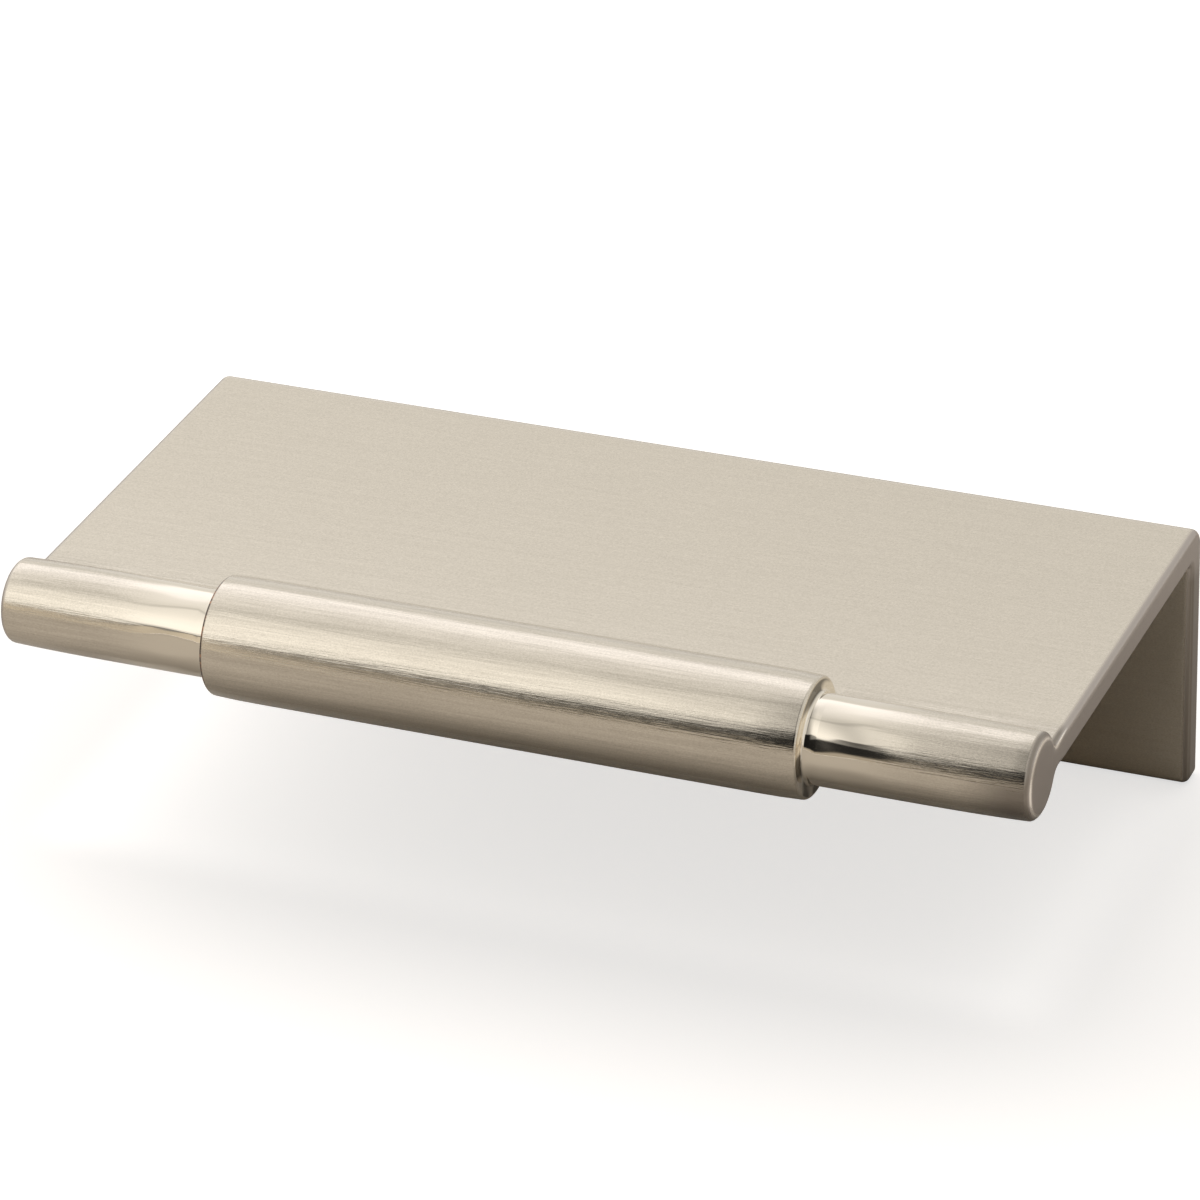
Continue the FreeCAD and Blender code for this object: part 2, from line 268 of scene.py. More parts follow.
foot_y = -LEG / 2
outer_side = chain([
    line_side((STRIP_Y, TOP), (-BEND_OUT, TOP), PLATE_STEPS, (0.0, 1.0)),
    arc_side(-BEND_OUT, TOP - BEND_OUT, BEND_OUT, QUARTER, 0, BEND_STEPS),
    *leg_side(0.0, TOP - BEND_OUT, (1.0, 0.0)),
    arc_side(-END_ROUND, FOOT + END_ROUND, END_ROUND, 0, -QUARTER, CORNER_STEPS),
    line_side((-END_ROUND, FOOT), (foot_y, FOOT), 1, (0.0, -1.0))])
inner_side = chain([
    line_side((STRIP_Y, UNDER), (-LEG - BEND_IN, UNDER), PLATE_STEPS, (0.0, -1.0)),
    arc_side(-LEG - BEND_IN, UNDER - BEND_IN, BEND_IN, QUARTER, 0, BEND_STEPS, hollow=True),
    *leg_side(-LEG, UNDER - BEND_IN, (-1.0, 0.0)),
    arc_side(END_ROUND - LEG, FOOT + END_ROUND, END_ROUND, math.pi, math.pi + QUARTER, CORNER_STEPS),
    line_side((END_ROUND - LEG, FOOT), (foot_y, FOOT), 1, (0.0, -1.0))])
print("points on one side of plate and leg:", len(outer_side[0]), len(inner_side[0]))

# %% Whole rings, and the rounded ends
END_STEPS = 8
TIP_FADE = 1.5           # the bar's deeper rounding fades to the plate's over this distance
FLIP = np.array([1.0, 1.0, -1.0])


def spread(side):
    """Repeat one side of plate and leg on every ring, at the ring's leg_x."""
    points, normals = side
    x = np.broadcast_to(ring_leg_x[:, None, None], (len(ring_x), len(points), 1))
    yz = np.broadcast_to(points, (len(ring_x),) + points.shape)
    normals = np.broadcast_to(np.pad(normals, ((0, 0), (1, 0))), (len(ring_x), len(points), 3))
    return np.concatenate([x, yz], axis=2), normals


def below(points):
    """Mirror points of the upper half of the nose to its lower half."""
    return (points - [0, 0, AXIS_Z]) * FLIP + [0, 0, AXIS_Z]


outer_far, outer_far_normals = spread(outer_side)
inner_far, inner_far_normals = spread(inner_side)
over = np.concatenate([upper_points, outer_far], axis=1)
under = np.concatenate([below(lower_points), inner_far], axis=1)
over_normals = np.concatenate([upper_normals, outer_far_normals], axis=1)
under_normals = np.concatenate([lower_normals * FLIP, inner_far_normals], axis=1)
RUNGS = over.shape[1] - 1

# A ring goes from the front under the nose to the foot, and back up the outside to the front.
rings = np.concatenate([under, over[:, RUNGS - 1:0:-1]], axis=1)
normals = np.concatenate([under_normals, over_normals[:, RUNGS - 1:0:-1]], axis=1)


def rounded_end(side):
    """Rings over the rounded edge of an end face, from the last straight ring to the flat face.

    Each ring is the last one drawn in along its normals by a share of the rounding, while its x moves on
    along a quarter circle. The bar is drawn in further than the plate and the leg.
    """
    last, last_normals = (rings[-1], normals[-1]) if side > 0 else (rings[0], normals[0])
    inwards = last_normals * [0, -1, -1]
    from_axis = np.hypot(last[:, 1] - AXIS_Y, last[:, 2] - AXIS_Z)
    depth = np.interp(from_axis, [BAR, BAR + TIP_FADE], [TIP_ROUND, END_ROUND])[:, None]
    lean = run(0, QUARTER, END_STEPS)[:, None, None]
    drawn_in = last + depth * (1 - np.cos(lean)) * inwards
    onward = END_ROUND * np.sin(lean) * np.array([side, 0.0, 0.0])
    return drawn_in + onward


grid = np.concatenate([rounded_end(-1)[::-1], rings, rounded_end(1)])
print("rings:", grid.shape[0], "points on each:", grid.shape[1])

# %% [markdown]
# ## The screw holes
#
# Two machine screws come through the drawer front into tapped holes in the leg. A thread is a groove that
# climbs one pitch with each turn. In a hole it is simply a radius that depends on the depth and the angle,
# so one grid can go from a square on the back of the leg, over the hole's mouth, through the thread and
# out to a square on the inside. The countersunk mouth is a cone, and the wider of cone and thread wins.

# %% Grid of one tapped hole
MOUTH = HOLE + 0.35                  # radius of the countersunk mouth
PITCH = 25.4 / 32                    # 32 turns to the inch
THREAD_DEPTH = 0.31
THREAD_FLAT = 0.15                   # share of a flank that is cut off flat at crest and root
THREAD_STEPS = 52
RIM_STEPS = 3


def tapped_hole(middle_x):
    """Rings of a hole: square to mouth on the back, down the thread, and mouth to square on the inside.

    The thread's radius is the bore plus the groove's depth times a wave of straight flanks, which repeats
    once per pitch of depth and moves on by one pitch per turn.
    """
    side = np.linspace(-1, 1, SQUARE_STEPS + 1)[:-1]
    ones = np.ones_like(side)
    square = SQUARE * np.stack([np.concatenate([ones, -side, -ones, side]),
                                np.concatenate([side, ones, -side, -ones])], axis=-1)
    angle = np.arctan2(square[:, 1], square[:, 0])
    around = np.stack([np.cos(angle), np.sin(angle)], axis=-1)
    share = np.linspace(0, 1, RIM_STEPS + 1)[:, None, None]
    rim = (1 - share) * square + share * MOUTH * around

    depth = run(0, LEG, THREAD_STEPS)[:, None]
    phase = (angle / (2 * math.pi) - depth / PITCH) % 1
    flank = np.clip((1 + 2 * THREAD_FLAT) * np.abs(2 * phase - 1) - THREAD_FLAT, 0, 1)
    cone = MOUTH - np.minimum(depth, LEG - depth)
    bore = np.maximum(HOLE + THREAD_DEPTH * flank, cone)[:, :, None] * around

    flat = np.concatenate([rim, bore, rim[-2::-1]])
    y = np.concatenate([np.zeros(len(rim)), -depth[:, 0], np.full(len(rim) - 1, -LEG)])
    y = np.broadcast_to(y[:, None], flat.shape[:2])
    return np.stack([middle_x + flat[:, :, 0], y, flat[:, :, 1]], axis=-1)


holes = [tapped_hole(side * HOLE_X) for side in (-1, 1)]
print("tapped holes:", len(holes), "with", holes[0].shape[0], "rings of", holes[0].shape[1], "points")

# %% [markdown]
# ## From arrays to one mesh
#
# A grid becomes faces by pairing each point with its neighbours, with no loop over points. The cells that
# the hole grids take over are left out, the two end faces are closed like ladders, and points that lie in
# one place are merged, which also shuts the seams between the grids.

# %% Faces and mesh
NEAR = 0.01              # points closer to a plane than this lie on it
MERGE = 0.002            # points closer to each other than this become one
SHARP = 32               # edges sharper than this many degrees stay sharp


def grid_faces(rows, columns, first=0):
    """The faces of a grid of points that closes on itself in its second direction."""
    row, column = np.meshgrid(np.arange(rows - 1), np.arange(columns), indexing="ij")
    after = (column + 1) % columns
    corners = [row * columns + column, row * columns + after,
               (row + 1) * columns + after, (row + 1) * columns + column]
    return first + np.stack(corners, axis=-1).reshape(-1, 4)


def ladder_faces(first, side):
    """The faces of a flat end: a rung joins each point of the inside to its partner on the outside."""
    rung = np.arange(1, RUNGS - 1)
    quads = np.stack([rung, rung + 1, 2 * RUNGS - rung - 1, 2 * RUNGS - rung], axis=-1)
    tips = np.array([[0, 1, 2 * RUNGS - 1], [RUNGS - 1, RUNGS, RUNGS + 1]])
    return [first + part[:, ::side] for part in (quads, tips)]


skin_points = grid.reshape(-1, 3)
skin_faces = grid_faces(grid.shape[0], grid.shape[1])
middles = skin_points[skin_faces].mean(axis=1)
on_leg = (np.abs(middles[:, 1]) < NEAR) | (np.abs(middles[:, 1] + LEG) < NEAR)
at_hole = (np.abs(np.abs(middles[:, 0]) - HOLE_X) < SQUARE) & (np.abs(middles[:, 2]) < SQUARE)
faces = skin_faces[~(on_leg & at_hole)].tolist()
for side, first in ((-1, 0), (1, (grid.shape[0] - 1) * grid.shape[1])):
    for part in ladder_faces(first, side):
        faces += part.tolist()
points = [skin_points]
count = len(skin_points)
for hole in holes:
    faces += grid_faces(hole.shape[0], hole.shape[1], count)[:, ::-1].tolist()
    points.append(hole.reshape(-1, 3))
    count += len(points[-1])

casting_mesh = bpy.data.meshes.new("brushed_casting")
casting_mesh.from_pydata((np.concatenate(points) * MM).tolist(), [], faces)
cleaning = bmesh.new()
cleaning.from_mesh(casting_mesh)
bmesh.ops.remove_doubles(cleaning, verts=cleaning.verts, dist=MERGE * MM)
used = {vert for face in cleaning.faces for vert in face.verts}
bmesh.ops.delete(cleaning, geom=[vert for vert in cleaning.verts if vert not in used], context="VERTS")
volume = cleaning.calc_volume(signed=True) / MM ** 3
open_edges = sum(not edge.is_manifold for edge in cleaning.edges)
cleaning.to_mesh(casting_mesh)
cleaning.free()
casting_mesh.shade_smooth()
casting_mesh.set_sharp_from_angle(angle=math.radians(SHARP))
print(f"casting: {len(casting_mesh.vertices)} points, {len(casting_mesh.polygons)} faces,"
      f" {volume:.0f} cubic mm, {open_edges} open edges")

# %% Casting as an object on the frame
casting = bpy.data.objects.new("brushed_casting", casting_mesh)
bpy.context.scene.collection.objects.link(casting)
flat_first = casting.modifiers.new("flat_faces_first", "WEIGHTED_NORMAL")
flat_first.keep_sharp = True
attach(casting, "root")
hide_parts("pull_casting")
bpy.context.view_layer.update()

# %% [markdown]
# ## Where the finish changes
#
# The plated casting is polished first and then brushed along its length on a belt. The belt rides on the
# thick sleeve and on the flats, so it can't reach the bar close to the sleeve: there the polish stays, with
# the soft waves of a buffed surface. It bites deepest at the bar's right tip. The end faces are only
# blasted, and painted shade makes them darker. Their rims are rubbed bright and carry a painted highlight.
# Painted shade darkens the leg's end faces and the bar's right end, on a band inside its rim and on its
# lower side. The sleeve's flat end faces carry a painted reflection, bright on a band a little above the
# axis and patchy dark elsewhere. One rim of the sleeve carries a painted dark line of shade, with patches
# worn through to the copper under the nickel, and the threads are cut last, into bare zinc. Each of these
# places is known from a point's position alone, so it can be written on the points as a number from 0 to
# 1, which the material reads.

# %% Finish masks on the points
POLISH_FADE = (4.0, 12.0)            # distances from the sleeve over which polish gives way to brushing
RIM_FADE = (-0.3, -0.2)              # the painted shade at the bar's end stops here, counted from the end face
PLATE_RIM = 0.1                      # how much of the painted rim highlight the plate and the leg get

place = np.empty(3 * len(casting_mesh.vertices), dtype=np.float32)
casting_mesh.vertices.foreach_get("co", place)
place = place.reshape(-1, 3) / MM


def ramp(value, start, stop):
    """0 up to start, 1 from stop on, and a soft S-curve between them."""
    share = np.clip((value - start) / (stop - start), 0, 1)
    return share * share * (3 - 2 * share)


def band(value, rise, fall):
    """1 on a band that comes up between the two places of rise and goes down between those of fall."""
    return ramp(value, *rise) * (1 - ramp(value, *fall))


# Distances in millimetres. Those past something are negative before it.
on_right = place[:, 0] > 0
past_sleeve = np.abs(place[:, 0]) - SLEEVE_HALF
past_end = np.abs(place[:, 0]) - END
above_axis = place[:, 2] - AXIS_Z
from_axis = np.hypot(place[:, 1] - AXIS_Y, above_axis)
from_hole = np.hypot(np.abs(place[:, 0]) - HOLE_X, place[:, 2])

# Parts of the pull, each with soft borders.
on_nose = 1 - ramp(from_axis, SLEEVE + 0.2, SLEEVE + 1.2)
on_bar = np.where(past_sleeve < HOLLOW, on_nose, 1 - ramp(from_axis, BAR + 0.5, BAR + 1.2))
on_step = ((past_sleeve > -NEAR) & (past_sleeve < HOLLOW)) * band(
    from_axis, (BAR + 0.05, BAR + 0.2), (SLEEVE - 0.45, SLEEVE - 0.3))
in_leg = place[:, 1] > -LEG - 0.1
# Painted shade: on the leg's end faces, on a band inside the rim of the bar's end, and on the lower side of
# its last eight millimetres.
leg_end = in_leg * ramp(past_end, -0.7, -0.3) * (1 - ramp(place[:, 2], UNDER - 2.0, UNDER))
tip_edge = band(past_end, (-0.8, -0.5), RIM_FADE)
low_tip = band(past_end, (-8.0, -1.0), RIM_FADE) * (1 - ramp(above_axis, 0.3, 2.0))

masks = {
    "nose": on_nose,
    "polish": on_bar * band(past_sleeve, (-0.1, 0.0), POLISH_FADE),
    "wavy": on_bar * band(past_sleeve, (HOLLOW, HOLLOW + 1.0), POLISH_FADE),
    "bar_tip": on_nose * on_right * ramp(past_sleeve, *POLISH_FADE),
    "blasted": ramp(past_end, -0.78, -0.4),
    # painted shade at the right end of the bar and on the leg's end faces
    "painted_shade": np.maximum(leg_end, on_right * on_nose * np.maximum(tip_edge, low_tip)),
    # the sleeve's flat end faces, which get a painted bright reflection
    "step": on_step,
    # painted dark reflection on the sleeve's flat end faces, away from a band a little above the axis
    "dark_step_reflection": on_step * (1 - band(above_axis, (1.3, 2.1), (3.6, 4.4))),
    # rubbed bright rims, with a painted highlight on them
    "burnish_and_highlight": band(past_end, (-0.23, -0.14), (-0.13, -0.065)) * (PLATE_RIM + (1 - PLATE_RIM) * on_nose),
    # a painted dark line of shade on the sleeve's left rim, with copper worn bare in patches
    "rim_shade_and_wear": (~on_right * on_nose * band(past_sleeve, (-0.34, -0.2), (-0.02, 0.0))
               * ramp(from_axis, SLEEVE - 0.6, SLEEVE - 0.4)),
    "cut": in_leg * (1 - ramp(from_hole, MOUTH + 0.02, MOUTH + 0.15)),
}
for name, values in masks.items():
    attribute = casting_mesh.attributes.new(name, "FLOAT", "POINT")
    attribute.data.foreach_set("value", values.astype(np.float32))
    print(f"{name}: {np.count_nonzero(values > 0.5)} points")

# %% [markdown]
# ## Brush lines
#
# A belt leaves fine scratches that are long in one direction and narrow in the other. Noise that is
# stretched along the pull gives just that. The scratches, the broader strokes of the belt, the grain of
# the plating and the soft waves of a polished surface differ only in width and length, so one node group
# makes all of them.

# %% Node helpers and the group for marks
NOISE_ROUGHNESS = 0.55                # how much the finer layers of the noise count


def node(tree, kind, inputs=None, **settings):
    """Add a node with its settings, and fill its inputs with values or with other nodes' outputs."""
    made = tree.nodes.new(kind)
    for name, value in settings.items():
        setattr(made, name, value)
    for name, value in (inputs or {}).items():
        if isinstance(value, bpy.types.NodeSocket):
            tree.links.new(value, made.inputs[name])
        else:
            made.inputs[name].default_value = value
    return made


def math_node(tree, operation, *values):
    """Add a Math node and return its result."""
    return node(tree, "ShaderNodeMath", dict(enumerate(values)), operation=operation).outputs[0]


def mix_colour(tree, share, first, second):
    """Go from the first colour to the second as share goes from 0 to 1."""
    return node(tree, "ShaderNodeMix", {0: share, 6: first, 7: second}, data_type="RGBA").outputs[2]


def soft_step(tree, value, start, stop):
    """0 up to start, 1 from stop on, and a soft S-curve between them."""
    return node(tree, "ShaderNodeMapRange", {"Value": value, "From Min": start, "From Max": stop},
                interpolation_type="SMOOTHSTEP").outputs[0]


def grey_stops(tree, value, stops):
    """A number that follows straight lines between stops of (place from 0 to 1, brightness)."""
    made = node(tree, "ShaderNodeValToRGB", {0: value})
    elements = made.color_ramp.elements
    while len(elements) < len(stops):
        elements.new(1.0)
    for element, (position, brightness) in zip(elements, stops):
        element.position = position
        element.color = (brightness, brightness, brightness, 1.0)
    return made.outputs["Color"]


def marks_group():
    """Noise of a given width across the pull and length along it, both in millimetres."""
    group = bpy.data.node_groups.new("belt_marks", "ShaderNodeTree")
    for name, value in (("Width", 0.1), ("Length", 5.0), ("Detail", 2.0), ("Seed", 0.0)):
        socket = group.interface.new_socket(name, in_out="INPUT", socket_type="NodeSocketFloat")
        socket.default_value = value
    group.interface.new_socket("Height", in_out="OUTPUT", socket_type="NodeSocketFloat")
    given = group.nodes.new("NodeGroupInput").outputs
    position = node(group, "ShaderNodeTexCoord").outputs["Object"]
    parts = node(group, "ShaderNodeSeparateXYZ", {0: position}).outputs
    length = math_node(group, "MULTIPLY", given["Length"], MM)
    width = math_node(group, "MULTIPLY", given["Width"], MM)
    stretched = node(group, "ShaderNodeCombineXYZ", {
        0: math_node(group, "DIVIDE", parts[0], length),
        1: math_node(group, "DIVIDE", parts[1], width),
        2: math_node(group, "DIVIDE", parts[2], width)}).outputs[0]
    noise = node(group, "ShaderNodeTexNoise", {
        "Vector": stretched, "W": given["Seed"], "Scale": 1.0, "Detail": given["Detail"],
        "Roughness": NOISE_ROUGHNESS}, noise_dimensions="4D")
    result = group.nodes.new("NodeGroupOutput")
    group.links.new(noise.outputs["Fac"], result.inputs["Height"])
    return group


belt_marks = marks_group()
print("node group:", belt_marks.name)

# %% [markdown]
# ## Satin nickel
#
# Nickel is a warm grey metal. The brushed parts scatter light across the scratches: a fine bump turns the
# reflection a little from line to line, and a low roughness blurs the rest. On the polished part of the
# bar the lines fade out and soft waves remain. The masks decide between them.

# %% Relief and roughness of the nickel
FLAT_DEPTH, NOSE_DEPTH, TIP_DEPTH = 0.45, 1.0, 1.6       # bite of the belt on flats, nose and right tip
SCRATCH, STROKE, WAVE, GRIT = 12.0, 24.0, 210.0, 10.0    # heights of the marks in micrometres
MICROMETRE = 0.001 * MM
ROUGH_BRUSHED = 0.095                                    # roughness of the brushed metal
ROUGH_LINES = 0.10                                       # roughness that the scratches add
ROUGH_TIP = 0.05                                         # roughness that the right tip adds

nickel = bpy.data.materials.new("satin_nickel")
nickel.use_nodes = True
tree = nickel.node_tree
shader = tree.nodes["Principled BSDF"]


def marks(width, length, seed, detail=2.0):
    """Place the marks group with its own values, and return its height."""
    placed = node(tree, "ShaderNodeGroup", node_tree=belt_marks)
    for name, value in (("Width", width), ("Length", length), ("Detail", detail), ("Seed", seed)):
        placed.inputs[name].default_value = value
    return placed.outputs["Height"]


def mask(name):
    """Read one of the finish masks."""
    return node(tree, "ShaderNodeAttribute", attribute_name=name).outputs["Fac"]


def blend(share, first, second):
    """Go from the first value to the second as share goes from 0 to 1."""
    return node(tree, "ShaderNodeMix", {"Factor": share, "A": first, "B": second}).outputs[0]


(nose, polish, wavy, bar_tip, blasted, painted_shade, step, dark_step_reflection, burnish_and_highlight, rim_shade_and_wear,
 cut) = (mask(name) for name in masks)
scratches = marks(width=0.10, length=2.6, seed=1.0)
strokes = marks(width=0.45, length=12.0, seed=2.0)
waves = marks(width=1.8, length=6.0, seed=23.0, detail=0.0)
grit = marks(width=0.16, length=0.16, seed=4.0)
brushed = math_node(tree, "MULTIPLY", math_node(tree, "SUBTRACT", 1.0, polish),
                    math_node(tree, "SUBTRACT", 1.0, blasted))
depth = math_node(tree, "MULTIPLY", brushed, blend(bar_tip, blend(nose, FLAT_DEPTH, NOSE_DEPTH), TIP_DEPTH))

# The waves are taken from their mean, so that their mask adds no slope of its own.
waves = math_node(tree, "SUBTRACT", waves, 0.5)
height = math_node(tree, "MULTIPLY", scratches, math_node(tree, "MULTIPLY", depth, SCRATCH))
for relief, share, size in ((strokes, depth, STROKE), (waves, wavy, WAVE), (grit, blasted, GRIT)):
    height = math_node(tree, "MULTIPLY_ADD", relief, math_node(tree, "MULTIPLY", share, size), height)
bump = node(tree, "ShaderNodeBump", {"Height": height, "Distance": MICROMETRE, "Strength": 1.0})
tree.links.new(bump.outputs[0], shader.inputs["Normal"])

roughness = math_node(tree, "MULTIPLY_ADD", scratches, ROUGH_LINES, ROUGH_BRUSHED)
roughness = math_node(tree, "MULTIPLY_ADD", bar_tip, ROUGH_TIP, roughness)
for share, finish_roughness in ((polish, 0.06), (blasted, 0.36), (burnish_and_highlight, 0.12), (cut, 0.30)):
    roughness = blend(share, roughness, finish_roughness)
tree.links.new(roughness, shader.inputs["Roughness"])
shader.inputs["Metallic"].default_value = 1.0
print("satin nickel without its colours:", len(tree.nodes), "nodes")

# %% Colour of the nickel
LIGHT = (0.755, 0.68, 0.56, 1.0)         # polished nickel
DARK = (0.505, 0.45, 0.365, 1.0)         # the deepest brush lines
BLASTED_AND_SHADE = (0.43, 0.38, 0.335, 1.0)       # end faces: duller than the brushed parts, and darker still as painted shade
PAINTED_SHADE_TONE = (0.27, 0.235, 0.195, 1.0)       # painted shade on the bar's right end and on the leg's end faces
STEP = (0.95, 0.88, 0.76, 1.0)           # painted highlight: a bright reflection painted on the sleeve's flat end faces
DARK_REFLECTION_TONE = (0.16, 0.14, 0.11, 1.0)        # and a painted dark reflection on parts of them
PAINTED_RIM_HIGHLIGHT = (0.97, 0.90, 0.79, 1.0)      # rims of the end faces, rubbed bright, and brighter still as a painted highlight
PAINTED_RIM_SHADE = (0.06, 0.04, 0.03, 1.0)           # painted shade: a dark line along the sleeve's left rim
UNDERCOAT = (0.42, 0.19, 0.09, 1.0)      # copper under the nickel, bare in patches of the rim
ZINC = (0.48, 0.48, 0.47, 1.0)           # bare metal in the threads
LINE_TONE = (0.27, 0.95)                 # how strongly lines darken the flats and the nose
MEAN_TONE = (0.38, 0.48)                 # and how far both lie from light to dark between the lines


def patches(size, seed, detail, start, stop):
    """Patches of a size in millimetres: noise, with 0 up to start and 1 from stop on."""
    return node(tree, "ShaderNodeMapRange", {"Value": marks(size, size, seed, detail),
                                             "From Min": start, "From Max": stop}).outputs[0]


hairlines = marks(width=0.09, length=7.0, seed=6.0, detail=3.0)
grain = marks(width=0.13, length=0.20, seed=7.0, detail=1.0)
lines = math_node(tree, "SUBTRACT", math_node(tree, "ADD", hairlines, strokes), 1.0)
tone = math_node(tree, "MULTIPLY_ADD", lines, blend(nose, *LINE_TONE), blend(nose, *MEAN_TONE))
tone = math_node(tree, "ADD", tone, math_node(tree, "SUBTRACT", grain, 0.5))
tone = math_node(tree, "MULTIPLY", tone, brushed)
# Painted dark reflection on the sleeve's flat end faces, in patches.
patchy_dark_reflection = math_node(tree, "MULTIPLY", dark_step_reflection, patches(size=2.2, seed=9.0, detail=0.0, start=0.35, stop=0.5))
worn_through = patches(size=0.5, seed=5.0, detail=2.0, start=0.5, stop=0.66)

# The nickel's own colour, with painted shade, painted highlights and painted reflections mixed in at their
# masks, and bare zinc in the threads.
colour = mix_colour(tree, tone, LIGHT, DARK)
for share, finish in ((blasted, BLASTED_AND_SHADE), (painted_shade, PAINTED_SHADE_TONE), (step, STEP), (patchy_dark_reflection, DARK_REFLECTION_TONE),
                      (burnish_and_highlight, PAINTED_RIM_HIGHLIGHT), (rim_shade_and_wear, mix_colour(tree, worn_through, PAINTED_RIM_SHADE, UNDERCOAT)),
                      (cut, ZINC)):
    colour = mix_colour(tree, share, colour, finish)
tree.links.new(colour, shader.inputs["Base Color"])
casting_mesh.materials.append(nickel)
print("satin nickel with its colours:", len(tree.nodes), "nodes")

# %% [markdown]
# ## Light
#
# Metal shows its surroundings, so the light is built like a small photo studio. The room is pale all
# round and greyer in front, with one dark gap there, through which the photographer looks. Two soft boxes
# add the bright bands: one behind on the left and one in front on the left. In Blender the room is the
# world, and its walls and the gap are worked out from the direction of a ray. Only the metal mirrors them.
# The camera itself sees plain white, and everything dull is lit by a plain soft light from above.

# %% Pale room with a dark gap
GAP_BLUR = 1.2                         # softness of the gap's edges, in degrees
GAP_DARKNESS = 0.97
# Stops of (sideways angle in degrees, value): the gap's strength here, and brightness for the walls.
GAP_DEPTH = [(-38, 0.2), (-27, 0.85), (-23, 0.75), (-21.5, 0.65), (-20, 1.0)]
GAP_CLOSES = (34.0, 26.0)              # the gap's right end
WALLS = [(-90, 1.0), (-20.5, 1.0), (-18.5, 0.93), (-17, 0.86), (-14, 0.66), (-11, 0.48), (-4, 0.36),
         (8, 0.34), (16, 0.8), (25, 0.9), (40, 0.8), (55, 0.95), (70, 0.8), (90, 0.8)]
BACK_WALL = [(-90, 1.0), (-30, 1.0), (-22, 0.93), (-16, 0.88), (90, 0.88)]
BACK_FROM = (84.0, 122.0)              # the walls in front turn into the back wall between these angles
LOW_WALL = [(-90, 1.0), (-60, 1.0), (-40, 0.85), (-25, 0.82), (-19, 0.5), (30, 0.5), (60, 1.0)]
LOW_BLUR = (0.0, 2.0)                  # it ends above the gap's foot, between these angles
LOW_TINT = (1.0, 0.91, 0.78, 1.0)      # and it is warm
WHITE = (1.0, 1.0, 1.0, 1.0)
SEAM = 78.0                            # a faint seam runs overhead, where two panels meet
SEAM_BLUR = (4.0, 1.0)
SEAM_SHADE = 0.22
LAMP_SIDE = (-0.35, 0.45, 0.82)        # where the plain soft light comes from
LAMP_SPREAD = (0.4, 1.0)
ROOM_LEVEL, LAMP_LEVEL = 0.28, 1.7

world = bpy.data.worlds.new("white_room")
bpy.context.scene.world = world
world.use_nodes = True
room = world.node_tree
room.nodes.clear()
direction = node(room, "ShaderNodeTexCoord").outputs["Generated"]
ray = node(room, "ShaderNodeSeparateXYZ", {0: direction}).outputs


def degrees(value):
    """Radians to degrees."""
    return math_node(room, "MULTIPLY", value, 180 / math.pi)


def wall(stops):
    """A brightness that depends on the sideways angle, by stops of (angle in degrees, brightness)."""
    share = math_node(room, "MULTIPLY_ADD", sideways, 1 / 180, 0.5)
    return grey_stops(room, share, [(angle / 180 + 0.5, brightness) for angle, brightness in stops])


def slide(first, second, start, stop):
    """Go softly from the first value to the second as the sideways angle goes from start to stop."""
    return math_node(room, "MULTIPLY_ADD", soft_step(room, sideways, start, stop), second - first, first)


def room_blend(share, first, second):
    """Go from the first value to the second as share goes from 0 to 1."""
    return node(room, "ShaderNodeMix", {"Factor": share, "A": first, "B": second}).outputs[0]


def darken(value, share, amount):
    """Take away an amount of the value where share is 1."""
    return math_node(room, "MULTIPLY", value, math_node(room, "MULTIPLY_ADD", share, -amount, 1.0))


sideways = degrees(math_node(room, "ARCSINE", ray[0]))             # -90 on the left, 90 on the right
ahead = math_node(room, "MULTIPLY", ray[1], -1.0)
around = degrees(math_node(room, "ARCTAN2", ray[2], ahead))        # 0 in front, 90 overhead, 180 behind

gap_top = slide(first=17.5, second=35.5, start=-21.5, stop=-17.0)
gap_foot = slide(first=15.0, second=4.0, start=-24.0, stop=-20.5)
below_top = math_node(room, "SUBTRACT", gap_top, around)
above_foot = math_node(room, "SUBTRACT", around, gap_foot)
in_gap = math_node(room, "MULTIPLY", soft_step(room, below_top, -GAP_BLUR, GAP_BLUR),
                   soft_step(room, above_foot, -GAP_BLUR, GAP_BLUR))
in_gap = math_node(room, "MULTIPLY", in_gap, wall(GAP_DEPTH))
in_gap = math_node(room, "MULTIPLY", in_gap, soft_step(room, sideways, *GAP_CLOSES))

from_seam = math_node(room, "ABSOLUTE", math_node(room, "SUBTRACT", around, SEAM))
walls = darken(wall(WALLS), soft_step(room, from_seam, *SEAM_BLUR), SEAM_SHADE)
walls = room_blend(soft_step(room, around, *BACK_FROM), walls, wall(BACK_WALL))
above_low_wall = soft_step(room, above_foot, *LOW_BLUR)
brightness = darken(room_blend(above_low_wall, wall(LOW_WALL), walls), in_gap, GAP_DARKNESS)

light_path = node(room, "ShaderNodeLightPath").outputs
in_metal = math_node(room, "MAXIMUM", light_path["Is Glossy Ray"], light_path["Is Transmission Ray"])
to_lamps = node(room, "ShaderNodeVectorMath", {0: direction, 1: LAMP_SIDE}, operation="DOT_PRODUCT")
lamp_share = soft_step(room, to_lamps.outputs["Value"], *LAMP_SPREAD)
room_light = math_node(room, "MULTIPLY_ADD", lamp_share, LAMP_LEVEL, ROOM_LEVEL)
strength = room_blend(in_metal, room_light, brightness)
strength = room_blend(light_path["Is Camera Ray"], strength, 1.0)
plain = math_node(room, "MAXIMUM", above_low_wall, math_node(room, "SUBTRACT", 1.0, in_metal))
warmth = mix_colour(room, plain, LOW_TINT, WHITE)
background = node(room, "ShaderNodeBackground", {"Color": warmth, "Strength": strength})
room.links.new(background.outputs[0], node(room, "ShaderNodeOutputWorld").inputs["Surface"])
print("room nodes:", len(room.nodes))

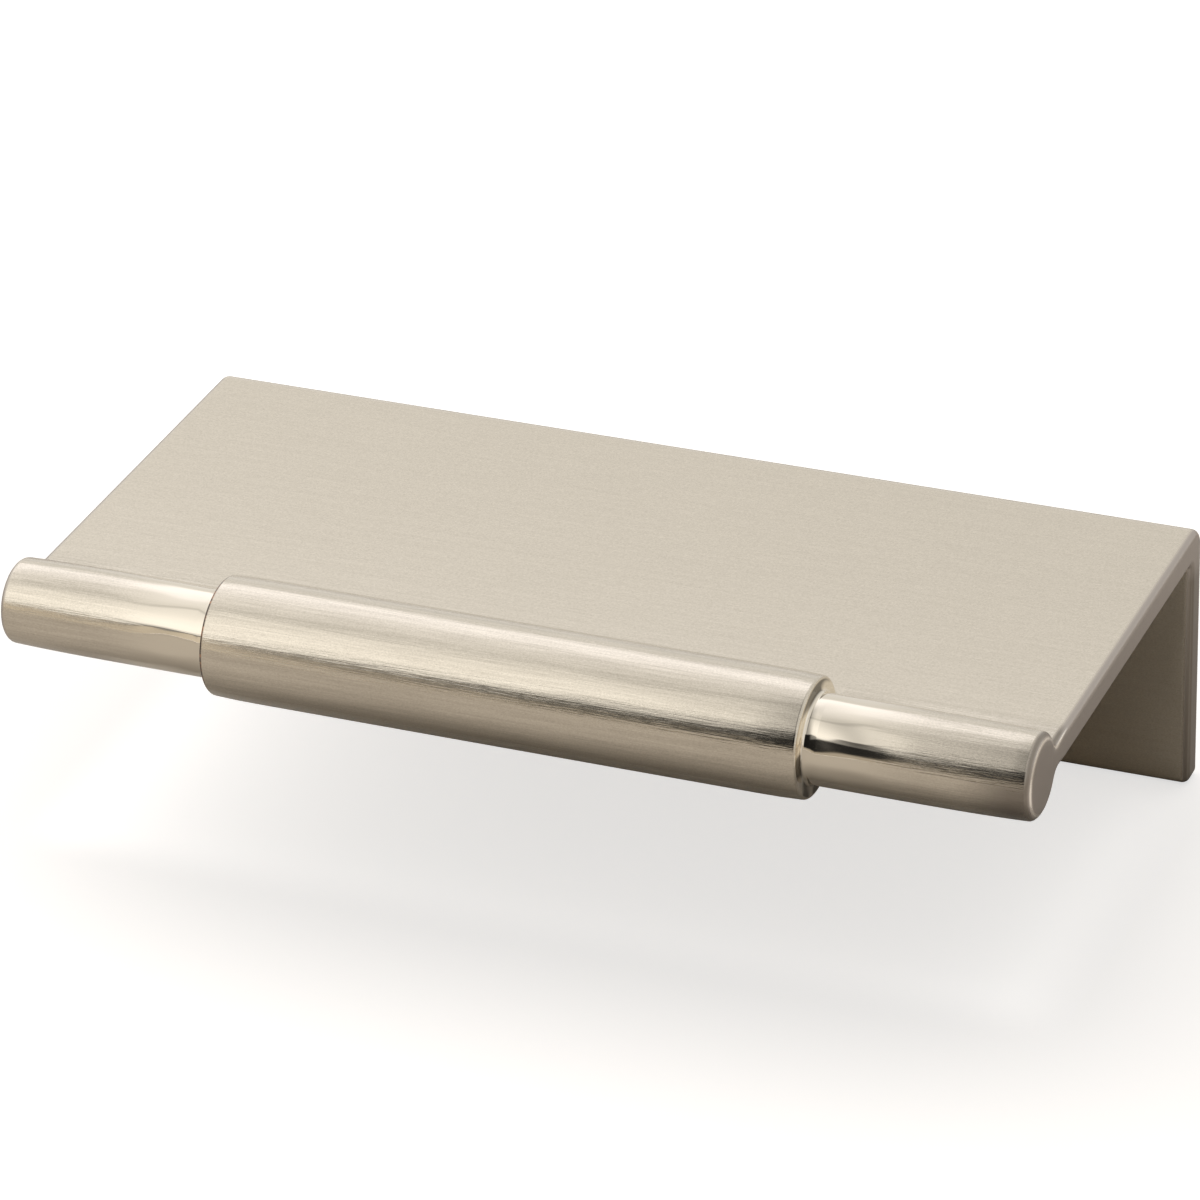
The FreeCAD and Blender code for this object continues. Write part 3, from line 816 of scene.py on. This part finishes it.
# %% Soft boxes
NOSE_TOP = Vector((0.0, AXIS_Y, high[2]))
END_FADE = 0.12                        # share of a soft box's length over which each end fades out
KEY_PROFILE = [(0.0, 0.0), (0.14, 0.15), (0.26, 0.22), (0.38, 0.36), (0.49, 0.68), (0.64, 0.95),
               (0.79, 1.0), (0.89, 0.18), (1.0, 0.0)]
FILL_PROFILE = [(0.0, 0.0), (0.07, 0.95), (0.3, 1.0), (0.55, 0.75), (0.75, 0.4), (1.0, 0.0)]


def soft_box(name, x_range, around_range, distance, glow, profile):
    """A rectangular lamp along the pull that looks at the top of the nose.

    It lies between two places in x, in millimetres, and between two angles round the nose, in degrees: 0 is
    in front and 90 overhead. Its glow is how much brighter than the room its middle appears. The profile
    gives stops of (share of the way from its front edge to its back edge, share of its glow), and its two
    ends fade out.
    """
    middle = math.radians(sum(around_range) / 2)
    half_angle = math.radians(around_range[1] - around_range[0]) / 2
    data = bpy.data.lights.new(name, "AREA")
    data.shape = "RECTANGLE"
    data.size = (x_range[1] - x_range[0]) * MM
    data.size_y = 2 * distance * math.tan(half_angle) * MM
    data.energy = glow * math.pi * data.size * data.size_y
    data.use_nodes = True
    face = data.node_tree
    on_face = node(face, "ShaderNodeNewGeometry").outputs["Parametric"]
    shares = node(face, "ShaderNodeSeparateXYZ", {0: on_face}).outputs
    from_end = math_node(face, "MINIMUM", shares[0], math_node(face, "SUBTRACT", 1.0, shares[0]))
    strength = math_node(face, "MULTIPLY", grey_stops(face, shares[1], profile),
                         soft_step(face, from_end, 0.0, END_FADE))
    face.links.new(strength, face.nodes["Emission"].inputs["Strength"])

    lamp = bpy.data.objects.new(name, data)
    outwards = Vector((0.0, -math.cos(middle), math.sin(middle)))
    along = Vector((1.0, 0.0, 0.0))
    lamp.matrix_world = Matrix((along, outwards.cross(along), outwards)).transposed().to_4x4()
    lamp.location = (NOSE_TOP + outwards * distance) * MM
    lamp.location.x = sum(x_range) / 2 * MM
    lamp.visible_camera = False
    bpy.context.scene.collection.objects.link(lamp)
    return lamp


key = soft_box("key_soft_box", x_range=(-380.0, 42.0), around_range=(84.0, 153.0),
               distance=250.0, glow=0.60, profile=KEY_PROFILE)
fill = soft_box("fill_soft_box", x_range=(-680.0, -58.0), around_range=(20.0, 80.0),
                distance=400.0, glow=0.45, profile=FILL_PROFILE)
key.data.color = (0.96, 0.985, 1.16)          # a little cooler than the room
print("soft boxes:", [(lamp.name, round(lamp.data.energy, 3)) for lamp in (key, fill)])

# %% [markdown]
# ## Floor
#
# The pull stands on its leg on a large pale sheet. The picture's ground is white, and the sheet still
# takes the pull's soft shadow: to the camera it glows a little on top of the light that falls on it. The
# metal mirrors the sheet without that glow, apart from its far parts. The sheet also carries a painted
# shadow: its colour is darker round and under the pull, which gives the lower sides of the nose their
# depth. Two patches of painted light lie on it: a grey one under the plate, which lightens the inside of
# the leg, and a pale one on the right, which the bar's rounded end mirrors.

# %% Pale floor
FLOOR_HALF = 3.0                              # metres
SHEET = (0.56, 0.52, 0.475, 1.0)
PAINTED_SHADOW = (0.39, 0.36, 0.325, 1.0)             # painted shadow: the darker middle
PAINTED_SHADOW_AT = (0.025, -0.015, FOOT * MM)
PAINTED_SHADOW_SHAPE = (0.45, 1.0, 1.0)               # it is longer along the pull than across
PAINTED_SHADOW_FADE = (0.03, 0.08)
# Painted light: paler patches on the sheet, with this colour.
PATCH_LIGHT = (0.78, 0.74, 0.69, 1.0)
PATCH_LIGHT_EDGE = 8.0                               # soft edges of the patches of painted light, in millimetres
GREY_PATCH_LIGHT = 0.6                               # the painted light under the plate is this far from the painted shadow to pale
GLOW = 0.66
GLOW_FAR = (1.0, 2.5)                         # the metal mirrors the glow from the far parts on

floor_mesh = bpy.data.meshes.new("pale_floor")
corners = np.array([[-1, -1], [1, -1], [1, 1], [-1, 1]]) * FLOOR_HALF
corners = np.pad(corners, ((0, 0), (0, 1)), constant_values=FOOT * MM)
floor_mesh.from_pydata(corners.tolist(), [], [[0, 1, 2, 3]])
floor = bpy.data.objects.new("pale_floor", floor_mesh)
bpy.context.scene.collection.objects.link(floor)

paper = bpy.data.materials.new("pale_paper")
paper.use_nodes = True
sheet = paper.node_tree
paper_shader = sheet.nodes["Principled BSDF"]
paper_shader.inputs["Roughness"].default_value = 1.0
paper_shader.inputs["Specular IOR Level"].default_value = 0.0
spot = node(sheet, "ShaderNodeTexCoord").outputs["Object"]
spot_parts = node(sheet, "ShaderNodeSeparateXYZ", {0: spot}).outputs


def vector_node(operation, *values):
    """Add a Vector Math node to the sheet's material."""
    return node(sheet, "ShaderNodeVectorMath", dict(enumerate(values)), operation=operation).outputs


def light_patch(x_range, y_range):
    """A patch of painted light on the sheet: 1 on it and 0 beside it, with soft edges, from ranges in
    millimetres.
    """
    on_light_patch = 1.0
    for part, (start, stop) in zip(spot_parts, (x_range, y_range)):
        for outer, inner in ((start - PATCH_LIGHT_EDGE, start), (stop + PATCH_LIGHT_EDGE, stop)):
            on_light_patch = math_node(sheet, "MULTIPLY", on_light_patch, soft_step(sheet, part, outer * MM, inner * MM))
    return on_light_patch


# Painted shadow: the sheet is darker round and under the pull.
from_painted_shadow = vector_node("MULTIPLY", vector_node("SUBTRACT", spot, PAINTED_SHADOW_AT)["Vector"], PAINTED_SHADOW_SHAPE)
off_painted_shadow = soft_step(sheet, vector_node("LENGTH", from_painted_shadow["Vector"])["Value"], *PAINTED_SHADOW_FADE)
# Painted light: a grey patch under the plate and a pale one on the right.
under_plate = light_patch(x_range=(-46.0, 46.0), y_range=(-44.0, -8.0))
on_the_right = light_patch(x_range=(78.0, 150.0), y_range=(-85.0, -25.0))
on_light_patches = math_node(sheet, "MAXIMUM", math_node(sheet, "MULTIPLY", under_plate, GREY_PATCH_LIGHT), on_the_right)
paper_colour = mix_colour(sheet, on_light_patches, mix_colour(sheet, off_painted_shadow, PAINTED_SHADOW, SHEET), PATCH_LIGHT)
sheet.links.new(paper_colour, paper_shader.inputs["Base Color"])

path = node(sheet, "ShaderNodeLightPath").outputs
in_mirror = math_node(sheet, "MAXIMUM", path["Is Glossy Ray"], path["Is Transmission Ray"])
far_off = soft_step(sheet, vector_node("LENGTH", spot)["Value"], *GLOW_FAR)
shown = math_node(sheet, "MAXIMUM", path["Is Camera Ray"], math_node(sheet, "MULTIPLY", in_mirror, far_off))
paper_shader.inputs["Emission Color"].default_value = WHITE
sheet.links.new(math_node(sheet, "MULTIPLY", shown, GLOW), paper_shader.inputs["Emission Strength"])
floor_mesh.materials.append(paper)
print("floor at z", FOOT * MM)

# %% [markdown]
# ## Camera
#
# The photographer looked down on the pull from the front, a little from its right, with a long lens. The
# angles, the distance and the point in the middle of the picture were fitted to the photograph's edges.

# %% Camera at the photograph's angle
AROUND, UP, ROLL = (math.radians(angle) for angle in (22.4693, 28.5546, 1.6304))
DISTANCE = 619.684
AIM = (-6.858, -10.576, 0.457)
LENS, SENSOR = 190.741, 36.0

back = Vector((math.sin(AROUND) * math.cos(UP), -math.cos(AROUND) * math.cos(UP), math.sin(UP)))
level = Vector((0, 0, 1)).cross(back).normalized()
upright = back.cross(level)
right = math.cos(ROLL) * level - math.sin(ROLL) * upright
upward = math.sin(ROLL) * level + math.cos(ROLL) * upright
camera_data = bpy.data.cameras.new("photo_camera")
camera_data.sensor_width = SENSOR
camera_data.lens = LENS
camera_data.clip_start, camera_data.clip_end = 0.01, 100.0
camera = bpy.data.objects.new("photo_camera", camera_data)
turned = Matrix((right, upward, back)).transposed().to_4x4()
camera.matrix_world = Matrix.Translation((Vector(AIM) + back * DISTANCE) * MM) @ turned
bpy.context.scene.collection.objects.link(camera)
bpy.context.scene.camera = camera
bpy.context.scene.view_settings.view_transform = "Standard"
print("camera at", [round(value, 4) for value in camera.location])
